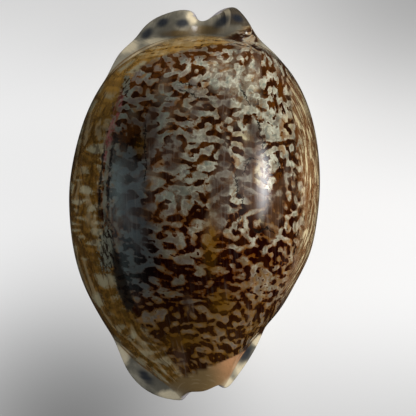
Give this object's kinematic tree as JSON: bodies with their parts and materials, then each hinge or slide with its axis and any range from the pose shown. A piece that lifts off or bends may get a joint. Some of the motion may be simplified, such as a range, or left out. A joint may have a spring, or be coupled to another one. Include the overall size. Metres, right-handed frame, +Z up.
{
  "type": "cowrie shell",
  "caption": "Hollow glossy cowrie shell lying on its base, with a domed back, lobed ends and a toothed slit underneath.",
  "frame": {"origin": "middle of the shell's box, on the surface it rests on", "axes": "+Z up out of the back, +Y along the shell to its broad end, where the spire is buried; -X is the outer lip's side"},
  "size_m": [0.0448, 0.071, 0.0353],
  "materials": {
    "glaze": "glossy mottled enamel"
  },
  "bodies": {
    "root": {"cowrie_shell": "glaze"}
  },
  "joints": []
}
